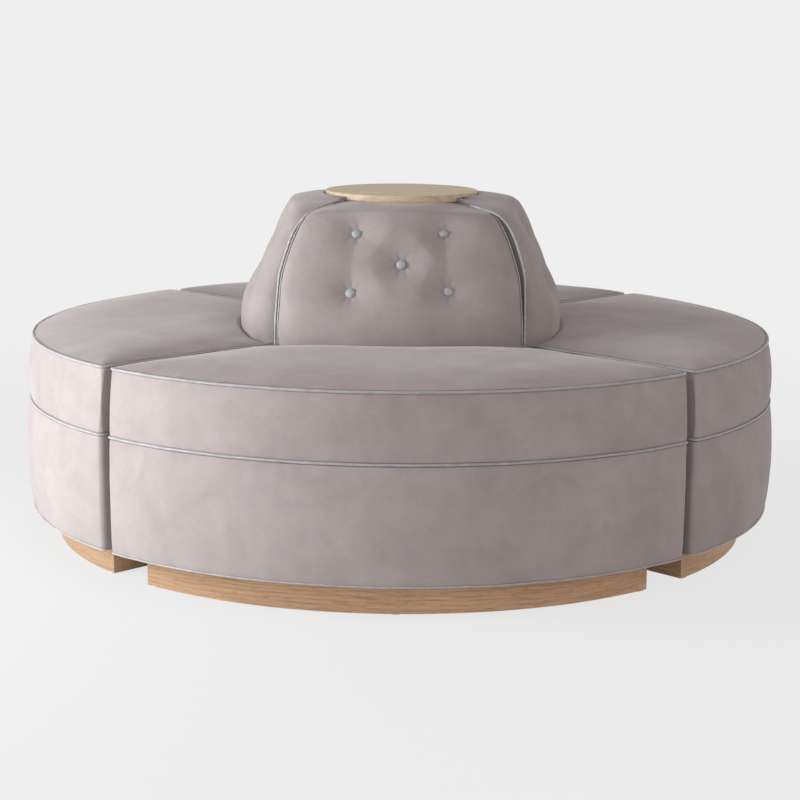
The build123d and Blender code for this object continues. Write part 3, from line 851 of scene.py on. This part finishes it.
def makeBaseCover():
    low, high = bottomRadius - sofa["seamIn"], middleRadius - sofa["seamIn"]
    lower, upper = baseCover["foot"], sofa["middleWelt"] - 0.0015
    start, innerStart = (math.sqrt(sofa["well"] ** 2 - side ** 2) for side in (moduleSide, baseCover["innerSide"]))
    shares = np.concatenate([[0.0, 0.008, 0.02, 0.035], np.linspace(0.06, 0.94, 25), [0.965, 0.98, 0.992, 1.0]])
    rings = []  # plan, distance to the nearer seam, height
    for share in shares:
        rings.append((*bandRun(baseCover, share, low, high, upper - lower, start), lower + (upper - lower) * share))
    # the hidden wall on the frame's skin
    inner = planRun(*(baseCover[k] for k in ("inner", "innerSide", "innerCorner")), innerStart, baseCover["counts"])
    rings += [(inner, 0.0, height) for height in (upper - 0.002, lower + 0.002)]
    points = np.vstack([raised(run, height) for run, _, height in rings])
    along = np.concatenate([runLength(run) for run, _, _ in rings])
    near = np.repeat([near for _, near, _ in rings], len(inner))
    height = points[:, 2]
    uv = np.column_stack([along, height])
    made = makePiece("baseCover", points, tubeFaces(len(rings), len(inner)), materials["velvet"], uv)
    gather = np.where(height < (lower + upper) / 2, wander(along, 0.034, 21), wander(along, 0.030, 22))
    slow = wander(along, 0.17, 23) + 0.6 * wander(along + height, 0.31, 24)
    amount = 1.3 * gather * np.exp(-near / 0.020) * np.clip(near / 0.004, 0, 1)
    amount += 0.9 * slow * np.clip(near / 0.03, 0, 1)
    amount *= baseCover["pucker"]
    amount += 0.0006 * wander(along + 2.3 * height, 0.11, 25) * np.clip(near / 0.04, 0, 1)
    pushOut(made, amount)
    return made


baseSource = makeBaseCover()
print("base cover made:", len(baseSource.data.polygons), "faces")
forModules(baseSource, "base_cover")


# ---- back cushion

back = {
    "columns": 161, "rows": 128, "crowding": 0.72, "tuck": 0.0026, "pressure": 3.0, "cap": 0.0034, "fill": 0.85,
    "boxRise": 0.0110, "boxWidth": 0.019, "flatten": 0.0095,
    # reach and height of the ring wall, the lip under the table's edge and the hidden walls
    "lip": [(0.1945, 0.8322), (0.1918, 0.8312), (0.1906, 0.8285), (0.1904, 0.8200), (0.1904, 0.8000),
            (0.07, 0.70), (0.07, 0.44)],
}


def makeBack():
    columns = back["columns"]
    crowd = math.pi / 2 * back["crowding"]
    across = np.sin(np.linspace(-1, 1, columns) * crowd) / math.sin(crowd)
    grid = np.array([backColumn(a, backSide, back["rows"]) for a in across]).transpose(1, 0, 2)
    flat = grid.reshape(-1, 3)
    height = flat[:, 2]
    alongUp = np.array([runLength(grid[:, k]) for k in range(columns)]).T
    alongAcross = np.array([runLength(row) for row in grid])
    half = alongAcross[:, -1:] / 2
    alongAcross -= half
    toEdge = (half - np.abs(alongAcross)).ravel()
    out = np.cross(np.gradient(grid, axis=1).reshape(-1, 3), np.gradient(grid, axis=0).reshape(-1, 3))
    out /= np.maximum(np.linalg.norm(out, axis=1, keepdims=True), 1e-12)

    # the face is a flat slab between boxed, rounded edges
    inward = np.clip(toEdge / np.repeat(half, columns), 0, 1)
    slab = back["boxRise"] * (1 - np.exp(-(toEdge / back["boxWidth"]) ** 1.3))
    slab -= back["flatten"] * (1 - (1 - inward) ** 2)
    slab *= eased(height, 0.47, 0.53) * eased(-height, -0.822, -0.770)
    pinch = back["tuck"] * np.exp(-toEdge / 0.0045) * eased(-height, -0.812, -0.790)
    points = [flat + out * (slab - dent(flat) - pinch)[:, None]]
    uv = [np.column_stack([alongAcross.ravel(), alongUp.ravel()])]
    for number, (reach, level) in enumerate(back["lip"], 1):
        points.append(raised(fan(reach, across * (halfModule - math.asin(backSide / reach))), level))
        uv.append(raised(alongAcross[-1], alongUp[-1].mean() + 0.01 * number))
    points = np.vstack(points)
    faces = tubeFaces(len(points) // columns, columns)
    made = makePiece("backCushion", points, faces, materials["velvet"], np.vstack(uv))

    toTuft = np.min([np.linalg.norm(flat - place, axis=1) for place in tuftPlaces], axis=0)
    free = (toEdge > 0.006) & (toTuft > 0.016) & (height > 0.52) & (height < 0.822)
    hidden = len(points) - len(flat)
    held = np.concatenate([~free, np.ones(hidden, bool)])
    cap = np.concatenate([back["cap"] * np.clip((0.832 - height) / 0.05, 0.2, 1), np.full(hidden, 0.001)])
    stuff(made, held, cap, back["pressure"])

    # puckers at the seams and the foot, and short creases that run out from each button
    amount = wander(alongUp.ravel(), 0.024, 31) * np.exp(-toEdge / 0.014) * np.clip(toEdge / 0.004, 0, 1) * 0.0009
    amount += wander(alongAcross.ravel() + 1.0, 0.055, 32) * np.exp(-np.abs(height - 0.52) / 0.02) * 0.0010
    for number, (centre, normal) in enumerate(tuftList):
        sideways = Vector((0, 0, 1)).cross(normal).normalized()
        a, b = ((flat - np.array(centre)) @ np.array(way) for way in (sideways, normal.cross(sideways)))
        turns = np.arctan2(b, a)
        rays = np.cos(turns * 7 + number * 1.9 + 0.8 * np.sin(2 * turns + number))
        amount += 0.0011 * rays * np.exp(-((np.hypot(a, b) - 0.019) / 0.010) ** 2)
    pushOut(made, np.concatenate([amount, np.zeros(hidden)]))
    return made


backSource = makeBack()
print("back cushion made:", len(backSource.data.polygons), "faces")
forModules(backSource, "back_cushion", shape=ownShape)


# ---- piping, stitches and buttons, by geometry nodes

def finishTree(tree, start, end, shape):
    real = put(tree, "GeometryNodeRealizeInstances", {0: shape})
    dressed = put(tree, "GeometryNodeSetMaterial", {"Geometry": real.outputs[0], "Material": start["Material"]})
    feed(tree, end, {0: dressed.outputs[0]})
    return tree


def geometryTree(name, *inputs):
    inputs = ["Geometry Geometry", "Material Material", *inputs]
    return newTree(name, "GeometryNodeTree", inputs, ["Geometry Geometry"])


def makePipingTree():
    # a covered cord along a line, with a slightly uneven thickness
    tree, start, end = geometryTree("pipingAlongLine", "Radius Float", "Uneven Float", "Step Float")
    plus, minus, times = sums(tree)
    line = put(tree, "GeometryNodeMeshToCurve", {0: start["Geometry"]})
    even = put(tree, "GeometryNodeResampleCurve", {"Curve": line.outputs[0], "Length": start["Step"]}, mode="LENGTH")
    rough = put(tree, "ShaderNodeTexNoise", {"Scale": 90.0}).outputs["Fac"]
    radius = times(plus(times(minus(rough, 0.5), start["Uneven"]), 1.0), start["Radius"])
    circle = put(tree, "GeometryNodeCurvePrimitiveCircle", {"Resolution": 10, "Radius": 1.0})
    cord = put(tree, "GeometryNodeCurveToMesh", {
        "Curve": even.outputs[0], "Profile Curve": circle.outputs["Curve"], "Scale": radius, "Fill Caps": True})
    smooth = put(tree, "GeometryNodeSetShadeSmooth", {"Geometry": cord.outputs[0]})
    return finishTree(tree, start, end, smooth.outputs[0])


def makeStitchTree():
    # short threads set end to end along a line
    tree, start, end = geometryTree("stitchesAlongLine", "Pitch Float", "Stitch Object")
    line = put(tree, "GeometryNodeMeshToCurve", {0: start["Geometry"]})
    onLine = {0: line.outputs[0], "Length": start["Pitch"]}
    spots = put(tree, "GeometryNodeCurveToPoints", onLine, mode="LENGTH").outputs
    stitch = put(tree, "GeometryNodeObjectInfo", {0: start["Stitch"]})
    placed = put(tree, "GeometryNodeInstanceOnPoints", {
        "Points": spots["Points"], "Instance": stitch.outputs["Geometry"], "Rotation": spots["Rotation"]})
    return finishTree(tree, start, end, placed.outputs[0])


def makeSetTree():
    # one copy of a piece on each point, turned as the point's own direction says
    tree, start, end = geometryTree("pieceOnPoints", "Piece Object")
    piece = put(tree, "GeometryNodeObjectInfo", {0: start["Piece"]})
    facing = put(tree, "GeometryNodeInputNamedAttribute", {"Name": "facing"}, data_type="FLOAT_VECTOR")
    turn = put(tree, "FunctionNodeAlignEulerToVector", {"Vector": facing.outputs["Attribute"]}, axis="Z")
    placed = put(tree, "GeometryNodeInstanceOnPoints", {
        "Points": start["Geometry"], "Instance": piece.outputs["Geometry"], "Rotation": turn.outputs["Rotation"]})
    return finishTree(tree, start, end, placed.outputs[0])


def linkMesh(name, points, edges):
    mesh = bpy.data.meshes.new(name)
    mesh.from_pydata([tuple(p) for p in points], edges, [])
    made = bpy.data.objects.new(name, mesh)
    scene.collection.objects.link(made)
    return made


def grown(name, source, tree, values):
    # runs a tree on the source object, keeps the result as a plain mesh and drops the source
    modifier = source.modifiers.new(tree.name, "NODES")
    modifier.node_group = tree
    for item in tree.interface.items_tree:
        if item.in_out == "INPUT" and item.name in values:
            modifier[item.identifier] = values[item.name]
    source.update_tag()
    bpy.context.view_layer.update()
    mesh = bpy.data.meshes.new_from_object(source.evaluated_get(bpy.context.evaluated_depsgraph_get()))
    mesh.name = name
    made = bpy.data.objects.new(name, mesh)
    scene.collection.objects.link(made)
    bpy.data.objects.remove(source)
    return made


def alongLine(name, points, tree, values):
    return grown(name, linkMesh(name + "Line", points, [(k, k + 1) for k in range(len(points) - 1)]), tree, values)


def joined(name, parts):
    bpy.ops.object.select_all(action="DESELECT")
    for part in parts:
        part.select_set(True)
    bpy.context.view_layer.objects.active = parts[0]
    bpy.ops.object.join()
    parts[0].name = name
    return parts[0]


pipingTree, stitchTree, setTree = makePipingTree(), makeStitchTree(), makeSetTree()
piping = {"seat": 0.0027, "middle": 0.0027, "bottom": 0.0020, "back": 0.0029, "frontBack": 0.0016,
          "sunk": 0.0010, "sideOut": 0.0005, "rise": 0.0007, "uneven": 0.14, "step": 0.0045, "counts": (60, 12, 240)}
cordStart = seamFoot() + 0.003


def pipe(name, points, radius, cloth="piping"):
    return alongLine(name, points, pipingTree, {
        "Radius": radius, "Uneven": piping["uneven"], "Step": piping["step"], "Material": materials[cloth]})


def edgePiping(name, radius, height, start, thickness, seed):
    # the piping of one plan line, with the small unevenness of a sewn line
    side, corner = moduleSide - piping["sideOut"], sofa["corner"] + piping["sideOut"]
    run = planRun(radius - piping["sunk"], side, corner, start, piping["counts"])
    along = runLength(run)
    lift = piping["rise"] * (wander(along, 0.12, seed) + wander(along, 0.03, seed + 1) * 0.35)
    return pipe(name, np.column_stack([run, height + lift]), thickness)


seatPiping = edgePiping("seatPiping", sofa["seatRadius"], sofa["seatEdge"], cordStart, piping["seat"], 41)
forModules(seatPiping, "seat_welt")
basePiping = joined("basePiping", [
    edgePiping("middlePiping", middleRadius, sofa["middleWelt"], cordStart, piping["middle"], 43),
    edgePiping("bottomPiping", bottomRadius, sofa["bottomWelt"], 0.0640, piping["bottom"], 45)])
forModules(basePiping, "base_welts")

# up an arched edge; near the table the cord dives into the seam and ends there
# the front back's cord takes the satin whose pale colour is a painted highlight
frontCord = {"cloth": "frontPiping", "radius": piping["frontBack"], "in": 0.0006,
             "dive": (0.262, 0.225, 0.0016), "end": 0.206}
otherCord = {"cloth": "backPiping", "radius": piping["back"], "in": 0.0021,
             "dive": (0.320, 0.262, 0.0050), "end": 0.232}


def backCord(name, sign, cord):
    run = backColumn(sign, backSide - cord["in"], 170, low=0.480)
    reach = np.hypot(run[:, 0], run[:, 1])
    far, near, deep = cord["dive"]
    run[:, 2] -= deep * eased(-reach, -far, -near) * eased(run[:, 2], 0.76, 0.80)
    return pipe(name, run[reach > cord["end"]], cord["radius"], cord["cloth"])


for number, cord in enumerate((frontCord, otherCord, otherCord, otherCord)):
    cords = joined("backPiping", [backCord(f"backCord{sign}", sign, cord) for sign in (-1, 1)])
    copyPiece(cords, number, "back_welts", shape=ownShape)
    bpy.data.objects.remove(cords)
print("piping made")

buttonShape = {
    "profile": [(0.0040, 0.0049), (0.0078, 0.0038), (0.0104, 0.0021), (0.0117, 0.0),
                (0.0116, -0.0016), (0.0102, -0.0030)],
    "top": 0.0052, "under": -0.0036, "sides": 28, "lift": 0.0042,
    "pleats": 14, "pleatDepth": 0.00028, "pleatFrom": 0.0104,
}


def makeButtons():
    profile, sides = buttonShape["profile"], buttonShape["sides"]
    points = []
    for reach, height in profile:
        for k in range(sides):
            turn = 2 * math.pi * k / sides
            pleat = math.cos(buttonShape["pleats"] * turn) * min(1, reach / buttonShape["pleatFrom"]) ** 4
            out = reach + buttonShape["pleatDepth"] * pleat
            points.append((out * math.cos(turn), out * math.sin(turn), height))
    faces = gridFaces(len(profile), sides, closed=True, flip=True)
    topPole, lowPole, lastRing = len(points), len(points) + 1, (len(profile) - 1) * sides
    points += [(0, 0, buttonShape["top"]), (0, 0, buttonShape["under"])]
    for k in range(sides):
        faces += [(topPole, k, (k + 1) % sides), (lowPole, lastRing + (k + 1) % sides, lastRing + k)]
    shape = makePiece("buttonShape", points, faces, materials["buttonCloth"])
    subdivision = shape.modifiers.new("round", "SUBSURF")
    subdivision.levels = subdivision.render_levels = 1
    spots = linkMesh("buttonSpots", [c - n * (tufts["depth"] - buttonShape["lift"]) for c, n in tuftList], [])
    facing = spots.data.attributes.new("facing", "FLOAT_VECTOR", "POINT")
    facing.data.foreach_set("vector", [x for _, normal in tuftList for x in normal])
    made = grown("backButtons", spots, setTree, {"Piece": shape, "Material": materials["buttonCloth"]})
    made.data.shade_smooth()
    bpy.data.objects.remove(shape)
    return made


forModules(makeButtons(), "back_buttons", shape=ownShape)
print("buttons made")

stitch = {"length": 0.0036, "radius": 0.00062, "sides": 6, "pitch": 0.0054, "away": 0.0044, "proud": 0.0002,
          "above": 0.53, "reach": 0.04}


def makeStitch():
    # one thread, thicker in its middle, lying along Z
    sides, stations = stitch["sides"], [(-0.5, 0.35), (-0.25, 0.95), (0.25, 0.95), (0.5, 0.35)]
    points = []
    for share, width in stations:
        for k in range(sides):
            turn, out = 2 * math.pi * k / sides, width * stitch["radius"]
            points.append((out * math.cos(turn), out * math.sin(turn), share * stitch["length"]))
    faces = gridFaces(len(stations), sides, closed=True)
    faces += [tuple(range(sides))[::-1], tuple(range(len(points) - sides, len(points)))]
    return makePiece("stitchShape", points, faces, materials["thread"])


def pressed(plan, height, cushion, outward):
    # lays a plan line on a cushion, cast against the direction that outward gives for each point
    out = []
    for x, y in plan:
        point = Vector((x, y, height))
        away = outward(point)
        hit, place, normal, _ = cushion.ray_cast(point + away * stitch["reach"], -away)
        if hit:
            out.append(tuple(place + normal * stitch["proud"]))
    return out


def straightUp(point):
    return Vector((0, 0, 1))


def fromMiddle(point):
    return (point - Vector((0, -0.55, point.z))).normalized()


def makeStitches():
    seatPiece, basePiece = bpy.data.objects["frontSeatCushion"], bpy.data.objects["frontBaseCover"]
    inset, counts = stitch["away"], piping["counts"]
    edge = sofa["seatRadius"] - piping["sunk"]
    topPlan = planRun(edge - inset, moduleSide + inset, sofa["corner"] - inset, cordStart + 0.004, counts)
    wallPlan = planRun(middleRadius + 0.004, moduleSide - 0.004, sofa["corner"], 0.45, counts)
    lines = [
        pressed(topPlan, stitch["above"], seatPiece, straightUp),
        pressed(wallPlan, sofa["seatEdge"] - inset, seatPiece, fromMiddle),
        pressed(wallPlan, sofa["middleWelt"] + inset, seatPiece, fromMiddle),
        pressed(wallPlan, sofa["middleWelt"] - inset, basePiece, fromMiddle),
    ]
    shape = makeStitch()
    values = {"Pitch": stitch["pitch"], "Stitch": shape, "Material": materials["thread"]}
    made = joined("seamStitches", [alongLine("stitches", points, stitchTree, values) for points in lines])
    bpy.data.objects.remove(shape)
    return made


bpy.context.view_layer.update()
forModules(makeStitches(), None)
print("stitches made")


# ---- dust cover and webbing

dust = {"inner": 0.064, "outer": 0.884, "side": 0.0415, "rows": 33, "columns": 41,
        "level": 0.0755, "sag": 0.00048, "thickness": 0.0004}
strap = {"count": 9, "pitch": 0.118, "width": 0.060, "columns": 5, "step": 0.03,
         "far": 0.8845, "sideAway": 0.058, "level": 0.3422, "sag": 0.0012, "thickness": 0.0012}


def thickened(made, thickness):
    solid = made.modifiers.new("thickness", "SOLIDIFY")
    solid.thickness, solid.offset = thickness, 0
    mesh = bpy.data.meshes.new_from_object(made.evaluated_get(bpy.context.evaluated_depsgraph_get()))
    made.modifiers.clear()
    made.data = mesh
    return made


def makeDustPlan():
    # a grid over a quarter ring between its radial sides
    rows = []
    for reach in np.linspace(dust["inner"], dust["outer"], dust["rows"]):
        edge = halfModule - math.asin(dust["side"] / reach)
        rows.append(fan(reach, np.linspace(-edge, edge, dust["columns"])))
    return np.vstack(rows)


dustPlan = makeDustPlan()


def makeDustCover():
    hang = np.outer(*(np.sin(np.linspace(0, math.pi, dust[way])) for way in ("rows", "columns")))
    points = np.column_stack([dustPlan, dust["level"] - dust["sag"] * hang.ravel()])
    faces = gridFaces(dust["rows"], dust["columns"], flip=True)
    return thickened(makePiece("dustSheet", points, faces, materials["dustCloth"], dustPlan), dust["thickness"])


def declareDust(made, number):
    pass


def makeWebbing():
    # straps over the frame, from the back of the seat to the rim, ended on the ring plates
    points, faces, half = [], [], strap["width"] / 2
    for offset in (np.arange(strap["count"]) - (strap["count"] - 1) / 2) * strap["pitch"]:
        first = abs(offset) + half + strap["sideAway"]
        far = math.sqrt(strap["far"] ** 2 - (abs(offset) + half) ** 2)
        rows = int((far - first) / strap["step"])
        faces += gridFaces(rows, strap["columns"], offset=len(points), flip=True)
        for share in np.linspace(0, 1, rows):
            height = strap["level"] - strap["sag"] * math.sin(math.pi * share)
            y = -(first + (far - first) * share)
            points += [(x, y, height) for x in np.linspace(offset - half, offset + half, strap["columns"])]
    made = makePiece("seatStraps", points, faces, materials["webbing"], np.array(points)[:, :2])
    return thickened(made, strap["thickness"])


forModules(makeDustCover(), "dust_cover", extra=declareDust)
forModules(makeWebbing(), "seat_webbing")
print("dust cover and webbing made")


# ---- wood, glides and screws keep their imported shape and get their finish

nodeFinish = {
    "plinth_front": "plinthBent", "plinth_glides": "nylon", "base_frame": "plywood", "back_frame": "plywood",
    "plinth_sides": "plinthStraight", "table_top": "tableOak", "table_hub": "tableOak", "table_screws": "zinc",
}
for nodeName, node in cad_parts.items():
    place, _, rest = nodeName.partition("_")
    kind = rest if place in places else nodeName
    if kind in nodeFinish:
        node.data.materials.clear()
        node.data.materials.append(materials[nodeFinish[kind]])
print("packed nodes dressed")

bpy.context.view_layer.update()
